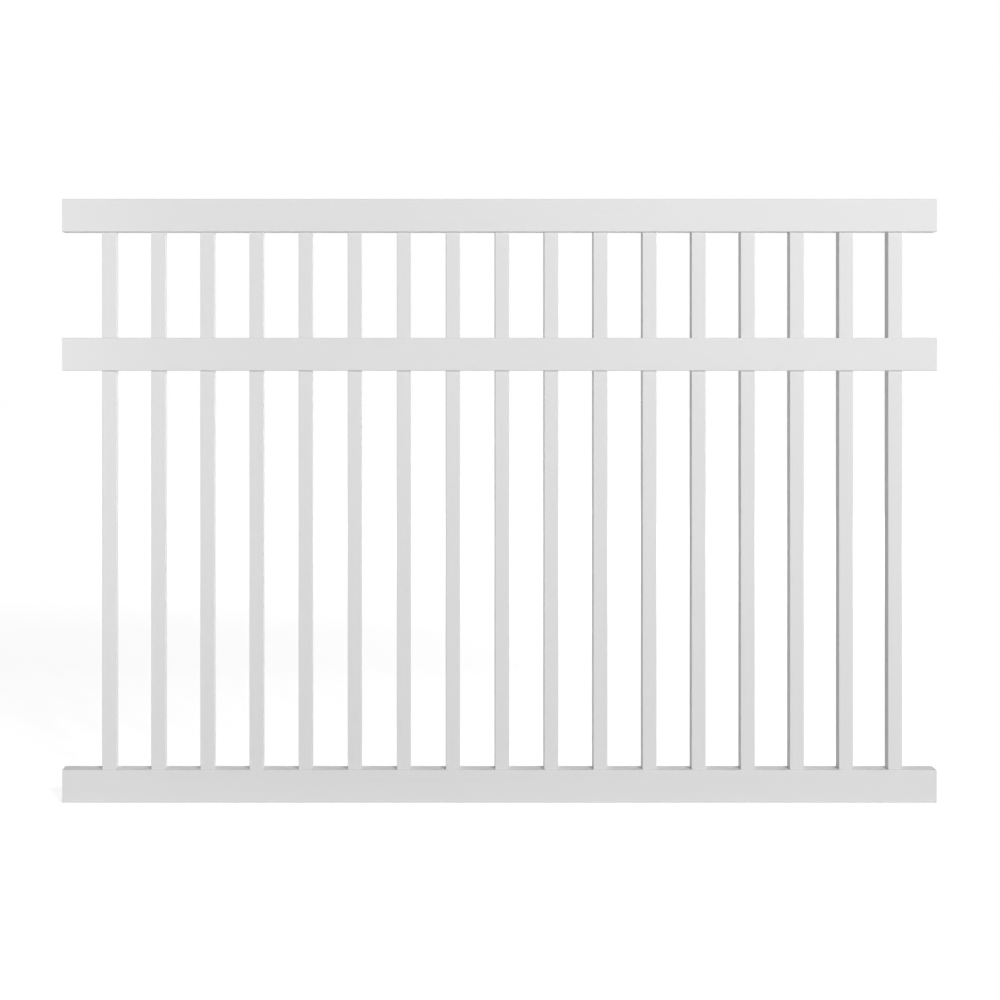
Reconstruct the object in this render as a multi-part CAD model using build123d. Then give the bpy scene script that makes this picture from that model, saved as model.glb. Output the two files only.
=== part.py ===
"""Vinyl pool fence panel: three hollow rails, routed for a row of hollow pickets.

The rails are one extrusion cut to the same length. The top rail is routed underneath, the middle rail right
through and the bottom rail on top only. Every picket stands on the floor inside the bottom rail, passes through
the middle rail and ends inside the top rail. X runs along the panel, Z is up, the front faces -Y, and the origin
is the middle of the bottom rail's underside. Sizes are in millimetres.
"""

from build123d import *

import math
import os

os.makedirs("parts", exist_ok=True)

# Whole panel
PANEL_LENGTH = 2362.0
PANEL_HEIGHT = 1631.0
UPPER_OPENING = 286.3  # clear height between the top rail and the middle rail

# Rail extrusion
RAIL_HEIGHT = 88.9
RAIL_DEPTH = 50.8
RAIL_WALL = 2.3
RAIL_CORNER = 2.4
RAIL_BORE_CORNER = 0.8

# Picket extrusion
PICKET_WIDTH = 38.1
PICKET_DEPTH = 38.1
PICKET_WALL = 1.8
PICKET_CORNER = 1.8
PICKET_BORE_CORNER = 0.6
PICKET_ENTRY = 60.0  # how far a picket reaches up into the top rail

# Row of pickets: end margins run from a rail's cut end to the axis of the nearest picket
LEFT_MARGIN = 126.0
RIGHT_MARGIN = 111.0
MAX_GAP = 98.0  # widest gap allowed between neighbours, below a barrier's 101.6

# Fits
ROUTING_CLEARANCE = 0.4  # between a routed hole and its picket, on each side

picket_span = PANEL_LENGTH - LEFT_MARGIN - RIGHT_MARGIN
picket_count = math.ceil(picket_span / (PICKET_WIDTH + MAX_GAP)) + 1
picket_pitch = picket_span / (picket_count - 1)
picket_axes = [LEFT_MARGIN - PANEL_LENGTH / 2 + i * picket_pitch for i in range(picket_count)]

top_rail_base = PANEL_HEIGHT - RAIL_HEIGHT
middle_rail_base = top_rail_base - UPPER_OPENING - RAIL_HEIGHT
bottom_rail_base = 0.0


def tube_profile(width: float, depth: float, wall: float, corner: float, bore_corner: float) -> Sketch:
    """Cross-section of a rectangular tube with rounded corners inside and out."""
    outside = RectangleRounded(width, depth, corner)
    inside = RectangleRounded(width - 2 * wall, depth - 2 * wall, bore_corner)
    return outside - inside


def routed_holes(z_from: float, height: float) -> Part:
    """Cutter for one row of routed holes, a little larger than the pickets that go through them."""
    outline = Rectangle(PICKET_WIDTH + 2 * ROUTING_CLEARANCE, PICKET_DEPTH + 2 * ROUTING_CLEARANCE)
    # The straight cut across a corner that keeps the clearance from the picket's rounded corner
    corner_cut = (2 - math.sqrt(2)) * (PICKET_CORNER + ROUTING_CLEARANCE)
    hole = chamfer(outline.vertices(), corner_cut)
    row = Sketch() + [Pos(x, 0) * hole for x in picket_axes]
    return Pos(0, 0, z_from) * extrude(row, height)


def rail(base: float, routed_below: bool, routed_above: bool) -> Part:
    """One rail with its underside at base, routed through the walls asked for."""
    profile = tube_profile(RAIL_DEPTH, RAIL_HEIGHT, RAIL_WALL, RAIL_CORNER, RAIL_BORE_CORNER)
    half = PANEL_LENGTH / 2
    body = Pos(0, 0, base + RAIL_HEIGHT / 2) * extrude(Plane.YZ * profile, half, both=True)
    cut = 3 * RAIL_WALL
    if routed_below:
        body -= routed_holes(base - RAIL_WALL, cut)
    if routed_above:
        body -= routed_holes(base + RAIL_HEIGHT - 2 * RAIL_WALL, cut)
    return body


def picket(x: float) -> Part:
    """One picket, from the floor inside the bottom rail up into the top rail."""
    profile = tube_profile(PICKET_WIDTH, PICKET_DEPTH, PICKET_WALL, PICKET_CORNER, PICKET_BORE_CORNER)
    floor = bottom_rail_base + RAIL_WALL
    return Pos(x, 0, floor) * extrude(profile, top_rail_base + PICKET_ENTRY - floor)


def save(shape: Part, name: str) -> None:
    """Names the piece and writes it as its own node."""
    shape.label = name
    export_step(shape, f"parts/{name}.step")


save(rail(top_rail_base, routed_below=True, routed_above=False), "top_rail")
save(rail(middle_rail_base, routed_below=True, routed_above=True), "middle_rail")
save(rail(bottom_rail_base, routed_below=False, routed_above=True), "bottom_rail")
for number, axis_x in enumerate(picket_axes, start=1):
    save(picket(axis_x), f"picket_{number:02d}")
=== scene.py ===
"""Dresses the vinyl pool fence panel and stands it in a white studio.

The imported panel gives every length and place. The rails and pickets are worked out again as smooth
surfaces, with the eased saw cuts, rounded corners and routed rims of real extrusions, and get a white vinyl
finish. Lengths are in metres, X runs along the rails, Z is up, and the panel's front faces -Y.
"""

import logging
import math
from dataclasses import dataclass, field
from enum import Enum
from typing import Any

import bmesh
import bpy
import numpy as np
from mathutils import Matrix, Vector

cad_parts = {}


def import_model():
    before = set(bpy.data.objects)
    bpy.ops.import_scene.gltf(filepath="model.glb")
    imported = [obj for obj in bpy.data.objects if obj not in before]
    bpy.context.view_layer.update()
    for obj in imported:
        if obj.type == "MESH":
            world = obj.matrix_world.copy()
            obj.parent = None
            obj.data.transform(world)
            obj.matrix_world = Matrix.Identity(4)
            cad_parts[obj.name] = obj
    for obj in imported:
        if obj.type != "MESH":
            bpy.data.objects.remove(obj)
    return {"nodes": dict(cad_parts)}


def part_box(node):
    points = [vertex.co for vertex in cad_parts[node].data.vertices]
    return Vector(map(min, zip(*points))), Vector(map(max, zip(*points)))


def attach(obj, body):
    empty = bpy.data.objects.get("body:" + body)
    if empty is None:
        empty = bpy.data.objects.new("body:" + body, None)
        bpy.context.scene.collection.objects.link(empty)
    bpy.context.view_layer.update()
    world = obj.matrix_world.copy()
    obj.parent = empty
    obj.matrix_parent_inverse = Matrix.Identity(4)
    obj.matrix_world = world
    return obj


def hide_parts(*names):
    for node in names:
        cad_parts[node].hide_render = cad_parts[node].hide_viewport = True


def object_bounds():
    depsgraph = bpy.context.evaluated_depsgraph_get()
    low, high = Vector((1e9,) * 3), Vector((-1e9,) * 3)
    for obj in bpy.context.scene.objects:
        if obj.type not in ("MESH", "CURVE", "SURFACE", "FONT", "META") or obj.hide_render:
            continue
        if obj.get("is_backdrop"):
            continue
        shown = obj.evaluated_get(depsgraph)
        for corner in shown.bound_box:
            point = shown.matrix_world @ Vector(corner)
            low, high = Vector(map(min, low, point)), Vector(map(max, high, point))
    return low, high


LOG = logging.getLogger("fence_panel")
BODY = "root"
CUT_ATTRIBUTE = "sawn"
WELD_DISTANCE = 1e-6
MM = 0.001

WHITE = (1.0, 1.0, 1.0, 1.0)

# Places of a Mix node's sockets: its factor, its two numbers or colours, and what comes out
MIX_FACTOR = 0
MIX_NUMBERS = (2, 3)
MIX_COLOURS = (6, 7)
MIX_NUMBER_OUT = 0
MIX_COLOUR_OUT = 2

Colour = tuple[float, float, float]
Point = tuple[float, float, float]


class Grain(Enum):
    """Which way an extrusion left its die, so which way its faint lines run."""

    ALONG_X = "rails"
    ALONG_Z = "pickets"


class Wall(Enum):
    """A level wall of a rail, by the side of the rail that it closes."""

    FOOT = -1
    HEAD = 1


@dataclass(frozen=True)
class Patch:
    """A stretch of surface before welding.

    Attributes:
        points: Places of its points, as rows of x, y and z.
        quads: Numbers of the four points of each face.
        sawn: How far each point lies on a sawn or routed face, from 0 to 1.
    """

    points: np.ndarray
    quads: np.ndarray
    sawn: np.ndarray


@dataclass(frozen=True)
class WallPath:
    """A line through a tube's wall that a cross-section is carried along.

    Attributes:
        along: Places along the tube.
        depth: How deep each place lies in the wall, 0 on the outside and 1 on the bore.
        sawn: How far each place lies on a sawn face, from 0 to 1.
    """

    along: np.ndarray
    depth: np.ndarray
    sawn: np.ndarray

    def reversed(self) -> "WallPath":
        """The same line, run the other way."""
        return WallPath(self.along[::-1], self.depth[::-1], self.sawn[::-1])

    def inner(self) -> "WallPath":
        """The same line without its two end places."""
        return WallPath(self.along[1:-1], self.depth[1:-1], self.sawn[1:-1])

    @staticmethod
    def level(along: np.ndarray, depth: float) -> "WallPath":
        """A run at one depth, with nothing sawn on it."""
        return WallPath(along, np.full(len(along), depth), np.zeros(len(along)))

    @staticmethod
    def joined(*runs: "WallPath") -> "WallPath":
        """Several runs, one after the other.

        Args:
            *runs: The runs, in order.

        Returns:
            One line along all of them.
        """
        return WallPath(
            np.concatenate([run.along for run in runs]),
            np.concatenate([run.depth for run in runs]),
            np.concatenate([run.sawn for run in runs]),
        )


def grid_quads(rows: int, columns: int, close_rows: bool, close_columns: bool) -> np.ndarray:
    """Faces of a grid whose points are numbered row by row.

    Face (r, c) joins points (r, c), (r, c + 1), (r + 1, c + 1) and (r + 1, c). A closed direction wraps
    round.

    Args:
        rows: Number of rows of points.
        columns: Number of points in a row.
        close_rows: Whether the last row joins the first.
        close_columns: Whether each row's last point joins its first.

    Returns:
        The numbers of each face's four points.
    """
    r = np.arange(rows if close_rows else rows - 1)[:, None]
    c = np.arange(columns if close_columns else columns - 1)[None, :]
    r_next = (r + 1) % rows
    c_next = (c + 1) % columns
    corners = (r * columns + c, r * columns + c_next, r_next * columns + c_next, r_next * columns + c)
    return np.stack(np.broadcast_arrays(*corners), axis=-1).reshape(-1, 4)


def end_turn(start: float, end: float, wall: float, ease: float, steps: int) -> WallPath:
    """Runs along the outside to a sawn end, over its two eased edges, and back along the bore.

    On an eased edge, at angle a from 0 to a quarter turn, the line is ease * (1 - sin a) short of the end
    and ease * (1 - cos a) deep in the wall.

    Args:
        start: Place along the tube where the run starts and ends.
        end: Place of the sawn face.
        wall: Thickness of the wall.
        ease: Radius of the eased edges.
        steps: Faces across each eased edge.

    Returns:
        The line, from the outside at start to the bore at start.
    """
    angle = np.linspace(0.0, math.pi / 2, steps + 1)
    short = math.copysign(ease, end - start) * (1 - np.sin(angle))
    deep = ease * (1 - np.cos(angle))
    edge = np.sin(angle)
    return WallPath(
        np.concatenate([[start], end - short, end - short[::-1], [start]]),
        np.concatenate([[0.0], deep, wall - deep[::-1], [wall]]) / wall,
        np.concatenate([[0.0], edge, edge[::-1], [0.0]]),
    )


def carry(outside: np.ndarray, bore: np.ndarray, path: WallPath) -> np.ndarray:
    """Carries a cross-section along a line through the wall.

    At each place the section is outside * (1 - depth) + bore * depth.

    Args:
        outside: Points of the section on the tube's outside, as pairs.
        bore: The matching points on the bore.
        path: The line through the wall.

    Returns:
        For each place of the path and each point of the section, the place along the tube and the pair.
    """
    depth = path.depth[:, None, None]
    section = outside * (1 - depth) + bore * depth
    along = np.broadcast_to(path.along[:, None, None], section.shape[:2] + (1,))
    return np.concatenate([along, section], axis=-1)


@dataclass(frozen=True)
class TubeSection:
    """Cross-section of an extruded rectangular tube, as half sizes about its middle.

    Attributes:
        half_width: Half the outside size along the section's first direction.
        half_height: Half the outside size along its second direction.
        wall: Thickness of the walls.
        corner: Radius of the outside corners.
        bore_corner: Radius of the corners of the bore.
        arc_steps: Faces round each corner.
    """

    half_width: float
    half_height: float
    wall: float
    corner: float
    bore_corner: float
    arc_steps: int = 8

    def _sizes(self, bore: bool) -> tuple[float, float, float]:
        """Half sizes and corner radius of the bore or of the outside.

        Args:
            bore: Whether the bore is asked for, or else the outside.

        Returns:
            Half the width, half the height and the radius.
        """
        if bore:
            return self.half_width - self.wall, self.half_height - self.wall, self.bore_corner
        return self.half_width, self.half_height, self.corner

    def flat_reach(self, bore: bool) -> float:
        """Half the length of the flat between two corners, along the first direction."""
        half_width, _, radius = self._sizes(bore)
        return half_width - radius

    def side(self, sign: int, bore: bool) -> np.ndarray:
        """One upright side with its two corners, from the foot up.

        At angle a from 0 to a quarter turn, the lower corner is at (reach + r sin a, -rise - r cos a) and
        the upper one at (reach + r cos a, rise + r sin a), with reach and rise the half sizes less the
        radius r.

        Args:
            sign: 1 for the side in the first direction, -1 for the opposite one.
            bore: Whether the line lies on the bore, or else on the outside.

        Returns:
            The line's points, as pairs.
        """
        half_width, half_height, radius = self._sizes(bore)
        reach, rise = half_width - radius, half_height - radius
        angle = np.linspace(0.0, math.pi / 2, self.arc_steps + 1)
        lower = np.stack([reach + radius * np.sin(angle), -rise - radius * np.cos(angle)], axis=-1)
        upper = np.stack([reach + radius * np.cos(angle), rise + radius * np.sin(angle)], axis=-1)
        return np.concatenate([lower, upper]) * (sign, 1)

    def level(self, wall: Wall, bore: bool, steps: int) -> np.ndarray:
        """The flat of the foot or the head, between its corners, in even steps.

        Args:
            wall: Which of the two level walls it lies on.
            bore: Whether the line lies on the bore, or else on the outside.
            steps: Faces along it.

        Returns:
            The line's points, as pairs.
        """
        _, half_height, _ = self._sizes(bore)
        reach = self.flat_reach(bore)
        across = np.linspace(-reach, reach, steps + 1)
        return np.stack([across, np.full_like(across, wall.value * half_height)], axis=-1)

    def loop(self, bore: bool) -> np.ndarray:
        """The whole line round the tube: one side upwards, then the opposite one downwards."""
        return np.concatenate([self.side(1, bore), self.side(-1, bore)[::-1]])


@dataclass(frozen=True)
class RoutedHole:
    """A routed hole in a rail's wall: the outline of a picket, eased all round.

    Attributes:
        half_x: Half its size along the rail.
        half_y: Half its size across the rail.
        corner: Radius that the router leaves in its corners.
        ease: Radius of its softened rims.
        steps_x: Faces along each long side, the corners' halves included.
        steps_y: The same for the sides across the rail.
        arc_steps: Faces round half a corner.
        rim_steps: Faces across a rim.
    """

    half_x: float
    half_y: float
    corner: float
    ease: float
    steps_x: int = 14
    steps_y: int = 12
    arc_steps: int = 3
    rim_steps: int = 3

    @staticmethod
    def _ring(side_x: np.ndarray, side_y: np.ndarray) -> np.ndarray:
        """Joins two sides and their mirror images into a closed loop, each side without its last point.

        Args:
            side_x: Pairs of the place along X and the distance out along Y.
            side_y: Pairs of the place along Y and the distance out along X.

        Returns:
            The loop's points, as pairs of x and y.
        """
        along_x, out_y = side_x[:-1].T
        along_y, out_x = side_y[:-1].T
        return np.concatenate(
            [
                np.stack([along_x, -out_y], axis=-1),
                np.stack([out_x, along_y], axis=-1),
                np.stack([-along_x, out_y], axis=-1),
                np.stack([-out_x, -along_y], axis=-1),
            ]
        )

    def _side(self, half_along: float, half_out: float, radius: float, steps: int) -> np.ndarray:
        """One side with half a corner at each end.

        At angle a from an eighth turn to 0 the corner is at (run + r sin a, half_out - r + r cos a), where
        run is the half length less the radius r. The straight run lies between, in even steps.

        Args:
            half_along: Half the hole's size along this side.
            half_out: Distance of this side from the hole's middle.
            radius: Radius of the corners.
            steps: Faces along the side, corners included.

        Returns:
            Pairs of the place along the side and the distance out.
        """
        run = half_along - radius
        angle = np.linspace(math.pi / 4, 0.0, self.arc_steps + 1)
        corner_along = run + radius * np.sin(angle)
        corner_out = half_out - radius + radius * np.cos(angle)
        straight = np.linspace(-run, run, steps - 2 * self.arc_steps + 1)[1:-1]
        along = np.concatenate([-corner_along, straight, corner_along[::-1]])
        out = np.concatenate([corner_out, np.full_like(straight, half_out), corner_out[::-1]])
        return np.stack([along, out], axis=-1)

    def outline(self, grown: float) -> np.ndarray:
        """The hole's outline, moved outwards.

        Args:
            grown: How far it is moved.

        Returns:
            The loop's points, as pairs of x and y.
        """
        half_x, half_y, radius = self.half_x + grown, self.half_y + grown, self.corner + grown
        return self._ring(
            self._side(half_x, half_y, radius, self.steps_x),
            self._side(half_y, half_x, radius, self.steps_y),
        )

    def cell(self, half_x: float, half_y: float) -> np.ndarray:
        """The rectangle of wall round the hole, with as many points as the outline, in even steps.

        Args:
            half_x: Half its size along the rail.
            half_y: Half its size across the rail.

        Returns:
            The loop's points, as pairs of x and y.
        """
        side_x = np.linspace(-half_x, half_x, self.steps_x + 1)
        side_y = np.linspace(-half_y, half_y, self.steps_y + 1)
        return self._ring(
            np.stack([side_x, np.full_like(side_x, half_y)], axis=-1),
            np.stack([side_y, np.full_like(side_y, half_x)], axis=-1),
        )


def new_piece(name: str, patches: list[Patch], material: bpy.types.Material) -> bpy.types.Object:
    """Welds patches into one closed mesh, smooths it and puts it in the scene.

    Args:
        name: Name of the piece.
        patches: Stretches of surface whose edges share their points.
        material: Finish of the whole piece.

    Returns:
        The new object, at the origin.
    """
    starts = np.cumsum([0] + [len(patch.points) for patch in patches[:-1]])
    points = np.concatenate([patch.points for patch in patches])
    quads = np.concatenate([patch.quads + start for patch, start in zip(patches, starts)])
    sawn = np.concatenate([patch.sawn for patch in patches]).astype(np.float32)
    mesh = bpy.data.meshes.new(name)
    mesh.from_pydata(points, [], quads)
    mesh.attributes.new(CUT_ATTRIBUTE, "FLOAT", "POINT").data.foreach_set("value", sawn)

    shell = bmesh.new()
    shell.from_mesh(mesh)
    bmesh.ops.remove_doubles(shell, verts=shell.verts, dist=WELD_DISTANCE)
    bmesh.ops.recalc_face_normals(shell, faces=shell.faces)
    shell.to_mesh(mesh)
    shell.free()

    mesh.shade_smooth()
    mesh.materials.append(material)
    piece = bpy.data.objects.new(name, mesh)
    bpy.context.scene.collection.objects.link(piece)
    flats = piece.modifiers.new("even_flats", "WEIGHTED_NORMAL")
    flats.keep_sharp = True
    return piece


def stand_in(piece: bpy.types.Object, node: str) -> None:
    """Puts a finished piece on the panel's body, in the place of the CAD node that it stands for.

    Args:
        piece: The finished piece.
        node: Name of the CAD node.
    """
    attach(piece, BODY)
    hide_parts(node)
    LOG.info("%s stands for %s with %d faces", piece.name, node, len(piece.data.polygons))


class NodeSheet:
    """A node tree that is filled node by node."""

    def __init__(self, tree: bpy.types.NodeTree) -> None:
        """Empties the tree.

        Args:
            tree: Tree of a material or of the world.
        """
        self.tree = tree
        tree.nodes.clear()

    def add(self, kind: str, settings: dict[str, Any] | None = None, **inputs: Any) -> bpy.types.Node:
        """Adds a node.

        Args:
            kind: Blender's name of the node type, without its "ShaderNode" start.
            settings: Properties of the node itself.
            **inputs: A value or a socket for each input, with underscores for spaces in the input's name.

        Returns:
            The new node.
        """
        node = self.tree.nodes.new("ShaderNode" + kind)
        for key, value in (settings or {}).items():
            setattr(node, key, value)
        for key, value in inputs.items():
            self.feed(node.inputs[key.replace("_", " ")], value)
        return node

    def feed(self, socket: bpy.types.NodeSocket, value: Any) -> None:
        """Links another node's socket to this one, or sets its value.

        Args:
            socket: The input that is fed.
            value: A socket or a plain value.
        """
        if isinstance(value, bpy.types.NodeSocket):
            self.tree.links.new(value, socket)
        else:
            socket.default_value = value

    def math(self, operation: str, first: Any, second: Any) -> bpy.types.NodeSocket:
        """A sum, product or other operation on two numbers.

        Args:
            operation: Blender's name of the operation.
            first: A number or a socket.
            second: Another.

        Returns:
            The socket of the result.
        """
        node = self.add("Math", {"operation": operation})
        self.feed(node.inputs[0], first)
        self.feed(node.inputs[1], second)
        return node.outputs[0]

    def noise(self, place: bpy.types.NodeSocket, scale: float, **more: float) -> bpy.types.NodeSocket:
        """A noise pattern over the places that a socket gives."""
        return self.add("TexNoise", Vector=place, Scale=scale, **more).outputs["Fac"]

    def blend(self, factor: Any, low: Any, high: Any) -> bpy.types.NodeSocket:
        """A number between low and high.

        Args:
            factor: How far it lies from low to high, from 0 to 1.
            low: A number or a socket.
            high: Another.

        Returns:
            The socket of the number.
        """
        node = self.add("Mix", {"data_type": "FLOAT"})
        self.feed(node.inputs[MIX_FACTOR], factor)
        for number, value in zip(MIX_NUMBERS, (low, high)):
            self.feed(node.inputs[number], value)
        return node.outputs[MIX_NUMBER_OUT]

    def blend_colour(self, factor: Any, low: Any, high: Any) -> bpy.types.NodeSocket:
        """A colour between low and high.

        Args:
            factor: How far it lies from low to high, from 0 to 1.
            low: A colour with its alpha, or a socket.
            high: Another.

        Returns:
            The socket of the colour.
        """
        node = self.add("Mix", {"data_type": "RGBA"})
        self.feed(node.inputs[MIX_FACTOR], factor)
        for number, value in zip(MIX_COLOURS, (low, high)):
            self.feed(node.inputs[number], value)
        return node.outputs[MIX_COLOUR_OUT]


@dataclass(frozen=True)
class VinylFinish:
    """White extruded vinyl: satin faces with faint die lines, and chalkier sawn edges.

    Attributes:
        pale: Colour of the palest lines and patches.
        shade: Colour of the darkest ones.
        sawn: Colour of sawn and routed faces.
        refraction: Refractive index of the vinyl.
        satin: Roughness of the faces.
        satin_spread: How much the roughness varies either way.
        sawn_roughness: Roughness of sawn and routed faces.
        die_line_pitch: Spacing of the faint lines left by the die.
        die_line_length: Length over which such a line fades.
        die_line_depth: Height of those lines.
        die_line_break: How much finer lines break up the broad ones, from 0 to 1.
        peel_size: Size of the fine ripple of the skin.
        peel_depth: Height of that ripple.
        cloud_size: Size of the soft patches of colour.
        cloud_share: How much those patches count beside the die lines, from 0 to 1.
        saw_pitch: Spacing of the saw marks on cut faces.
        saw_depth: Height of those marks.
        fine_detail: Finer layers in the die lines and saw marks.
        soft_detail: Finer layers in the ripple and the patches.
    """

    pale: Colour = (0.832, 0.832, 0.831)
    shade: Colour = (0.773, 0.773, 0.772)
    sawn: Colour = (0.770, 0.770, 0.765)
    refraction: float = 1.5
    satin: float = 0.56
    satin_spread: float = 0.07
    sawn_roughness: float = 0.72
    die_line_pitch: float = 4.0 * MM
    die_line_length: float = 0.9
    die_line_depth: float = 0.08 * MM
    die_line_break: float = 0.6
    peel_size: float = 2.4 * MM
    peel_depth: float = 0.02 * MM
    cloud_size: float = 0.55
    cloud_share: float = 0.4
    saw_pitch: float = 1.1 * MM
    saw_depth: float = 0.05 * MM
    fine_detail: float = 3.0
    soft_detail: float = 2.0

    @staticmethod
    def _bump(sheet: NodeSheet, height: Any, depth: float, below: Any = None) -> bpy.types.NodeSocket:
        """A bump, on top of another bump if there is one.

        Args:
            sheet: Tree of the material.
            height: Socket of the pattern.
            depth: Height of the pattern in metres.
            below: Normal of the bump under this one.

        Returns:
            The socket of the bumped normal.
        """
        bump = sheet.add("Bump", Strength=1.0, Distance=depth, Height=height)
        if below is not None:
            sheet.feed(bump.inputs["Normal"], below)
        return bump.outputs["Normal"]

    def material(self, grain: Grain) -> bpy.types.Material:
        """Builds the finish for extrusions of one direction.

        Args:
            grain: Which way the die lines run.

        Returns:
            The material.
        """
        material = bpy.data.materials.new(f"white_vinyl_{grain.value}")
        material.use_nodes = True
        sheet = NodeSheet(material.node_tree)
        place = sheet.add("TexCoord").outputs["Object"]

        along, across = 1 / self.die_line_length, 1 / self.die_line_pitch
        stretch = (along, across, across) if grain is Grain.ALONG_X else (across, across, along)
        drawn = sheet.add("Mapping", Vector=place, Scale=stretch).outputs["Vector"]
        die_lines = sheet.noise(drawn, 1.0, Detail=self.fine_detail, Roughness=self.die_line_break)
        peel = sheet.noise(place, 1 / self.peel_size, Detail=self.soft_detail)
        cloud = sheet.noise(place, 1 / self.cloud_size, Detail=self.soft_detail)
        saw_marks = sheet.noise(place, 1 / self.saw_pitch, Detail=self.fine_detail)
        cut = sheet.add("Attribute", {"attribute_name": CUT_ATTRIBUTE}).outputs["Fac"]

        patchy = sheet.blend(self.cloud_share, die_lines, cloud)
        skin = sheet.blend_colour(patchy, (*self.shade, 1.0), (*self.pale, 1.0))
        colour = sheet.blend_colour(cut, skin, (*self.sawn, 1.0))
        satin = sheet.blend(patchy, self.satin - self.satin_spread, self.satin + self.satin_spread)
        roughness = sheet.blend(cut, satin, self.sawn_roughness)

        lines = self._bump(sheet, die_lines, self.die_line_depth)
        ripple = self._bump(sheet, peel, self.peel_depth, lines)
        marks = self._bump(sheet, sheet.math("MULTIPLY", saw_marks, cut), self.saw_depth, ripple)
        vinyl = sheet.add(
            "BsdfPrincipled", Base_Color=colour, Roughness=roughness, IOR=self.refraction, Normal=marks
        )
        sheet.add("OutputMaterial", Surface=vinyl.outputs["BSDF"])
        return material


@dataclass
class Extrusions:
    """What the rails and pickets have in common.

    Attributes:
        rail_wall: Thickness of a rail's walls.
        rail_corner: Radius of a rail's outside corners.
        rail_bore_corner: Radius of the corners of a rail's bore.
        picket_wall: Thickness of a picket's walls.
        picket_corner: Radius of a picket's outside corners.
        picket_bore_corner: Radius of the corners of a picket's bore.
        routing_clearance: Gap between a routed hole and its picket.
        saw_ease: Radius of the softened edges of a sawn end.
        rim_ease: Radius of the softened rims of a routed hole.
        ease_steps: Faces across a softened edge.
    """

    rail_wall: float = 2.3 * MM
    rail_corner: float = 2.4 * MM
    rail_bore_corner: float = 0.8 * MM
    picket_wall: float = 1.8 * MM
    picket_corner: float = 1.8 * MM
    picket_bore_corner: float = 0.6 * MM
    routing_clearance: float = 0.4 * MM
    saw_ease: float = 0.4 * MM
    rim_ease: float = 0.35 * MM
    ease_steps: int = 3


@dataclass
class PicketRow:
    """The row of hollow pickets.

    Attributes:
        nodes: Names of the CAD nodes, from left to right.
        sizes: Walls, corners and eased edges of the extrusions.
    """

    nodes: list[str]
    sizes: Extrusions = field(default_factory=Extrusions)

    def axes(self) -> np.ndarray:
        """Place of each picket's axis along the panel."""
        boxes = [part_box(node) for node in self.nodes]
        return np.array([(low.x + high.x) / 2 for low, high in boxes])

    def half_sizes(self) -> tuple[float, float]:
        """Half a picket's width along the panel and half its depth through it."""
        low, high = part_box(self.nodes[0])
        return (high.x - low.x) / 2, (high.y - low.y) / 2

    def _tube(self, low: Vector, high: Vector) -> Patch:
        """Surface of one picket: its rounded section carried up the outside and down the bore.

        Args:
            low: Lowest corner of the picket's box.
            high: Highest corner of that box.

        Returns:
            The closed surface.
        """
        sizes = self.sizes
        middle = (low + high) / 2
        section = TubeSection(
            half_width=high.x - middle.x,
            half_height=high.y - middle.y,
            wall=sizes.picket_wall,
            corner=sizes.picket_corner,
            bore_corner=sizes.picket_bore_corner,
        )
        upper = end_turn(middle.z, high.z, sizes.picket_wall, sizes.saw_ease, sizes.ease_steps)
        lower = end_turn(middle.z, low.z, sizes.picket_wall, sizes.saw_ease, sizes.ease_steps)
        path = WallPath.joined(upper, lower.reversed().inner())
        grid = carry(section.loop(bore=False), section.loop(bore=True), path)
        rows, columns = grid.shape[:2]
        points = np.roll(grid, -1, axis=-1).reshape(-1, 3) + (middle.x, middle.y, 0.0)
        return Patch(points, grid_quads(rows, columns, True, True), np.repeat(path.sawn, columns))

    def build(self, material: bpy.types.Material) -> None:
        """Makes every picket.

        Args:
            material: Finish of the pickets.
        """
        for number, node in enumerate(self.nodes, start=1):
            piece = new_piece(f"picket_tube_{number:02d}", [self._tube(*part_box(node))], material)
            stand_in(piece, node)


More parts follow.
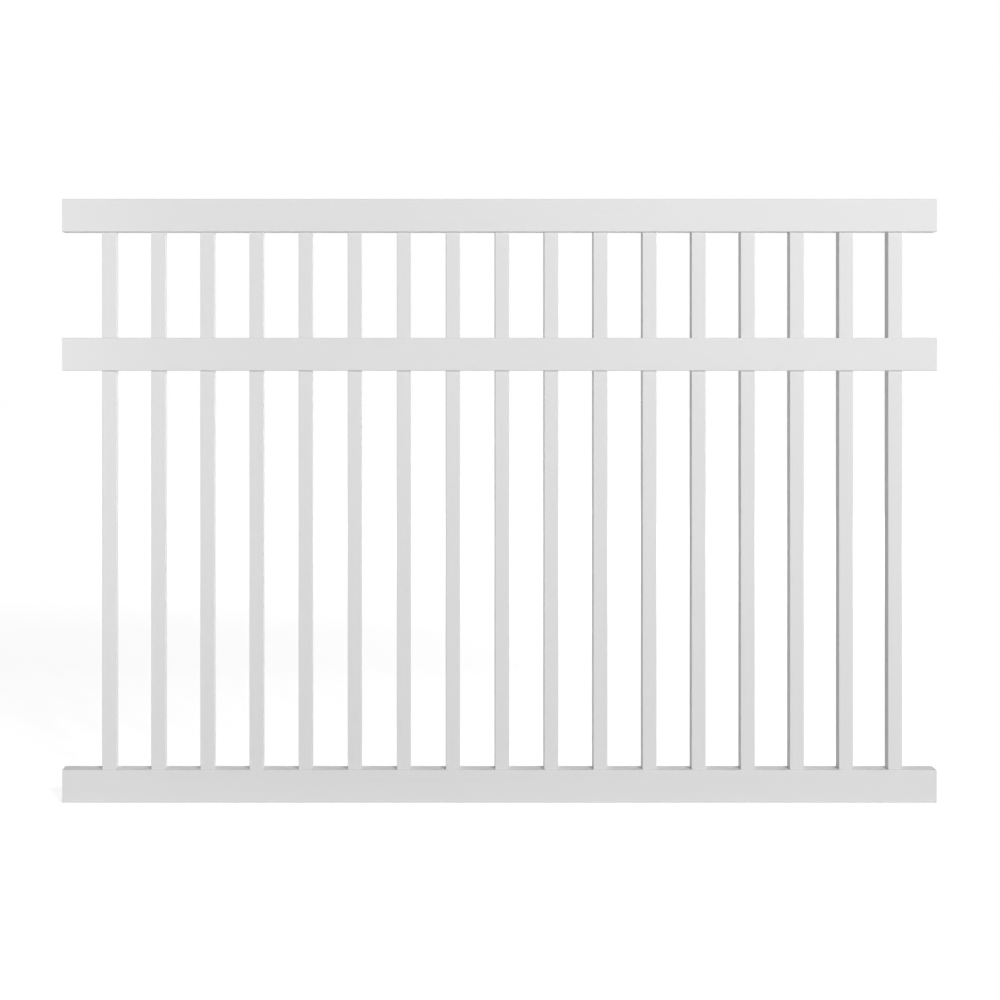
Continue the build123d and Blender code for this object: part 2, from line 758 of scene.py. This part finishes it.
@dataclass
class Rail:
    """One hollow rail, routed for the pickets.

    Attributes:
        name: Name of the finished piece.
        node: Name of the CAD node.
        routed: The walls that the pickets go through.
        row: The pickets.
        sizes: Walls, corners and eased edges of the extrusions.
    """

    name: str
    node: str
    routed: tuple[Wall, ...]
    row: PicketRow
    sizes: Extrusions = field(default_factory=Extrusions)

    def __post_init__(self) -> None:
        """Reads the rail's box and works out its section, its holes and the stretches along it."""
        sizes = self.sizes
        low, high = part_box(self.node)
        self.middle = (low + high) / 2
        self.section = TubeSection(
            half_width=(high.y - low.y) / 2,
            half_height=(high.z - low.z) / 2,
            wall=sizes.rail_wall,
            corner=sizes.rail_corner,
            bore_corner=sizes.rail_bore_corner,
        )
        half_x, half_y = self.row.half_sizes()
        self.hole = RoutedHole(
            half_x=half_x + sizes.routing_clearance,
            half_y=half_y + sizes.routing_clearance,
            corner=sizes.picket_corner + sizes.routing_clearance,
            ease=sizes.rim_ease,
        )
        self.axes = self.row.axes()
        self.half_pitch = (self.axes[-1] - self.axes[0]) / (len(self.axes) - 1) / 2
        first, last = self.axes[0] - self.half_pitch, self.axes[-1] + self.half_pitch
        self.stations = np.linspace(first, last, len(self.axes) * self.hole.steps_x + 1)
        self.left_turn = self._turn(self.stations[0], low.x)
        self.right_turn = self._turn(self.stations[-1], high.x)

    def _turn(self, start: float, end: float) -> WallPath:
        """The line round one of the rail's sawn ends."""
        return end_turn(start, end, self.sizes.rail_wall, self.sizes.saw_ease, self.sizes.ease_steps)

    def _strip(self, outside: np.ndarray, bore: np.ndarray, path: WallPath, closed: bool) -> Patch:
        """Carries part of the section along a path.

        Args:
            outside: Points of that part on the outside.
            bore: The matching points on the bore.
            path: Line through the wall.
            closed: Whether the path comes back to its start.

        Returns:
            The stretch of surface.
        """
        grid = carry(outside, bore, path)
        rows, columns = grid.shape[:2]
        points = grid.reshape(-1, 3) + (0.0, self.middle.y, self.middle.z)
        return Patch(points, grid_quads(rows, columns, closed, False), np.repeat(path.sawn, columns))

    def _whole_path(self) -> WallPath:
        """Round the whole wall: right end, back along the bore, left end, and out along the outside.

        Returns:
            The closed line.
        """
        between = self.stations[1:-1]
        return WallPath.joined(
            self.right_turn,
            WallPath.level(between[::-1], 1.0),
            self.left_turn.reversed(),
            WallPath.level(between, 0.0),
        )

    def _sides(self) -> list[Patch]:
        """The two upright sides with the rail's rounded corners.

        Returns:
            The front and the back.
        """
        path = self._whole_path()
        return [
            self._strip(self.section.side(sign, False), self.section.side(sign, True), path, True)
            for sign in (-1, 1)
        ]

    def _level(self, wall: Wall) -> list[Patch]:
        """A level wall: plain all along, or plain at its ends and routed between.

        Args:
            wall: Which of the two level walls.

        Returns:
            Its stretches of surface.
        """
        outside = self.section.level(wall, False, self.hole.steps_y)
        bore = self.section.level(wall, True, self.hole.steps_y)
        if wall not in self.routed:
            return [self._strip(outside, bore, self._whole_path(), True)]
        ends = [self._strip(outside, bore, turn, False) for turn in (self.left_turn, self.right_turn)]
        return [*ends, self._routed_cells(wall)]

    def _routed_cells(self, wall: Wall) -> Patch:
        """All the routed holes of a wall, each with the rectangle of wall round it.

        Rings of points run from the rectangle on the outside in to the rim, over it, through the wall, over
        the inner rim and out to the rectangle on the bore. At angle a from 0 to a quarter turn, a rim lies
        ease * (1 - sin a) outside the hole and ease * (1 - cos a) deep in the wall.

        Args:
            wall: The wall that is routed.

        Returns:
            The stretch of surface.
        """
        hole, thickness = self.hole, self.sizes.rail_wall
        angle = np.linspace(0.0, math.pi / 2, hole.rim_steps + 1)
        rim = [hole.outline(grown) for grown in hole.ease * (1 - np.sin(angle))]
        deep = hole.ease * (1 - np.cos(angle))
        cells = [hole.cell(self.half_pitch, self.section.flat_reach(bore)) for bore in (False, True)]
        rings = np.stack([cells[0], *rim, *rim[::-1], cells[1]])
        depth = np.concatenate([[0.0], deep, thickness - deep[::-1], [thickness]])
        sawn = np.concatenate([[0.0], np.sin(angle), np.sin(angle)[::-1], [0.0]])

        holes, (rows, columns) = len(self.axes), rings.shape[:2]
        height = self.middle.z + wall.value * (self.section.half_height - depth)
        points = np.empty((holes, rows, columns, 3))
        points[..., 0] = self.axes[:, None, None] + rings[None, ..., 0]
        points[..., 1] = self.middle.y + rings[None, ..., 1]
        points[..., 2] = height[None, :, None]
        first = np.arange(holes)[:, None, None] * rows * columns
        quads = grid_quads(rows, columns, False, True)[None] + first
        return Patch(points.reshape(-1, 3), quads.reshape(-1, 4), np.tile(np.repeat(sawn, columns), holes))

    def build(self, material: bpy.types.Material) -> None:
        """Makes the rail in the finish given."""
        patches = [*self._sides(), *self._level(Wall.FOOT), *self._level(Wall.HEAD)]
        stand_in(new_piece(self.name, patches, material), self.node)


@dataclass(frozen=True)
class SoftBox:
    """One soft studio lamp.

    Attributes:
        name: Name of the lamp.
        place: Where it stands.
        target: The point that it faces.
        size: Width and height of its face.
        watts: Its power.
    """

    name: str
    place: Point
    target: Point
    size: tuple[float, float]
    watts: float

    def build(self) -> None:
        """Puts the lamp in the scene, out of the camera's sight."""
        lamp = bpy.data.lights.new(self.name, "AREA")
        lamp.shape = "RECTANGLE"
        lamp.size, lamp.size_y = self.size
        lamp.energy = self.watts
        stand = bpy.data.objects.new(self.name, lamp)
        stand.location = self.place
        aim = Vector(self.target) - Vector(self.place)
        stand.rotation_euler = aim.to_track_quat("-Z", "Y").to_euler()
        stand.visible_camera = False
        bpy.context.scene.collection.objects.link(stand)


@dataclass
class Studio:
    """White surroundings: a floor that fades into a white world, and soft lamps.

    Attributes:
        floor_half: Half the floor's width.
        floor_shade: How much light the floor gives back to the panel.
        near_glow: What is added to the floor where it is seen near the panel, so that it comes out white
            there but keeps the panel's shadow.
        far_glow: The same far away, where the lamps hardly reach.
        glow_reach: Distances from the panel where the glow starts and ends to rise.
        ambient: Strength of the world's even light on the panel.
        lamps: The soft lamps.
    """

    floor_half: float = 40.0
    floor_shade: float = 0.80
    near_glow: float = 0.685
    far_glow: float = 0.85
    glow_reach: tuple[float, float] = (2.0, 8.0)
    ambient: float = 0.18
    lamps: tuple[SoftBox, ...] = (
        SoftBox("key", place=(3.5, -9.0, 5.0), target=(0.0, 0.0, 0.9), size=(3.0, 3.0), watts=660.0),
        SoftBox(
            "left_strip", place=(-1.62, -0.62, 1.0), target=(-1.15, 0.0, 1.0), size=(0.25, 2.0), watts=2.3
        ),
        SoftBox("back", place=(6.2, 6.8, 1.4), target=(0.0, 0.0, 0.8), size=(3.0, 2.4), watts=380.0),
    )

    @staticmethod
    def _seen(sheet: NodeSheet) -> bpy.types.NodeSocket:
        """Tells light that is seen from light that falls on the panel.

        Args:
            sheet: Tree of the world or of the floor.

        Returns:
            A socket that is 1 for light straight to the camera, into a reflection or through a clear piece.
        """
        path = sheet.add("LightPath").outputs
        direct = sheet.math("MAXIMUM", path["Is Camera Ray"], path["Is Glossy Ray"])
        return sheet.math("MAXIMUM", direct, path["Is Transmission Ray"])

    def _world(self) -> None:
        """White where it is seen, and an even grey light on the panel."""
        world = bpy.data.worlds.new("white_studio")
        world.use_nodes = True
        sheet = NodeSheet(world.node_tree)
        strength = sheet.blend(self._seen(sheet), self.ambient, 1.0)
        white = sheet.add("Background", Color=WHITE, Strength=strength)
        sheet.add("OutputWorld", Surface=white.outputs["Background"])
        bpy.context.scene.world = world

    def _floor_material(self) -> bpy.types.Material:
        """A pale floor that keeps the panel's shadow and comes out white round it.

        Returns:
            The material.
        """
        material = bpy.data.materials.new("studio_floor")
        material.use_nodes = True
        sheet = NodeSheet(material.node_tree)
        grey = (self.floor_shade, self.floor_shade, self.floor_shade, 1.0)
        matt = sheet.add("BsdfDiffuse", Color=grey).outputs["BSDF"]
        place = sheet.add("TexCoord").outputs["Object"]
        away = sheet.add("VectorMath", {"operation": "LENGTH"}, Vector=place).outputs["Value"]
        start, end = self.glow_reach
        rise = sheet.add(
            "MapRange",
            {"interpolation_type": "SMOOTHSTEP"},
            Value=away,
            From_Min=start,
            From_Max=end,
            To_Min=self.near_glow,
            To_Max=self.far_glow,
        )
        strength = sheet.math("MULTIPLY", self._seen(sheet), rise.outputs["Result"])
        glow = sheet.add("Emission", Strength=strength)
        both = sheet.add("AddShader")
        sheet.feed(both.inputs[0], matt)
        sheet.feed(both.inputs[1], glow.outputs["Emission"])
        sheet.add("OutputMaterial", Surface=both.outputs["Shader"])
        return material

    def _floor(self) -> None:
        """A level sheet under the panel, on a grid of two by two points."""
        reach = np.array([-self.floor_half, self.floor_half])
        x, y = np.meshgrid(reach, reach)
        points = np.stack([x, y, np.zeros_like(x)], axis=-1).reshape(-1, 3)
        mesh = bpy.data.meshes.new("studio_floor")
        mesh.from_pydata(points, [], grid_quads(2, 2, False, False))
        mesh.materials.append(self._floor_material())
        floor = bpy.data.objects.new("studio_floor", mesh)
        bpy.context.scene.collection.objects.link(floor)
        floor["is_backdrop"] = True

    def build(self) -> None:
        """Sets the world, the floor and the lamps."""
        self._world()
        self._floor()
        for lamp in self.lamps:
            lamp.build()
        bpy.context.scene.view_settings.view_transform = "Standard"
        LOG.info("studio set with %d lamps", len(self.lamps))


@dataclass(frozen=True)
class PhotoCamera:
    """The photograph's view: square on to the panel, from left of its middle and above its middle.

    Attributes:
        frame_width: Width of the view in the plane of the rails' fronts.
        distance: Distance of the lens from that plane.
        aside: Place of the lens along the panel, from the panel's middle.
        height: Height of the lens above the panel's underside.
        view_middle: Middle of the view along the panel and above its underside.
        sensor: Width of the sensor, in millimetres.
    """

    frame_width: float = 2.70
    distance: float = 5.0
    aside: float = -0.24
    height: float = 1.223
    view_middle: tuple[float, float] = (0.00135, 0.818)
    sensor: float = 36.0

    def build(self, front: float) -> None:
        """Makes the camera and gives the view to the scene.

        Args:
            front: Y of the rails' fronts.
        """
        camera = bpy.data.cameras.new("photo_camera")
        camera.sensor_width = self.sensor
        camera.lens = self.sensor * self.distance / self.frame_width
        camera.shift_x = (self.view_middle[0] - self.aside) / self.frame_width
        camera.shift_y = (self.view_middle[1] - self.height) / self.frame_width
        stand = bpy.data.objects.new("photo_camera", camera)
        stand.location = (self.aside, front - self.distance, self.height)
        stand.rotation_euler = (math.pi / 2, 0.0, 0.0)
        bpy.context.scene.collection.objects.link(stand)
        bpy.context.scene.camera = stand


def main() -> None:
    """Loads the panel, dresses its pickets and rails, and sets the studio and the camera."""
    logging.basicConfig(level=logging.INFO, format="%(name)s: %(message)s")
    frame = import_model()
    cad_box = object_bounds()

    finish = VinylFinish()
    pickets = PicketRow(sorted(node for node in frame["nodes"] if node.startswith("picket_")))
    pickets.build(finish.material(Grain.ALONG_Z))
    rail_vinyl = finish.material(Grain.ALONG_X)
    Rail("rail_top", "top_rail", (Wall.FOOT,), pickets).build(rail_vinyl)
    Rail("rail_middle", "middle_rail", (Wall.FOOT, Wall.HEAD), pickets).build(rail_vinyl)
    Rail("rail_bottom", "bottom_rail", (Wall.HEAD,), pickets).build(rail_vinyl)

    Studio().build()
    PhotoCamera().build(front=cad_box[0].y)


if __name__ == "__main__":
    main()
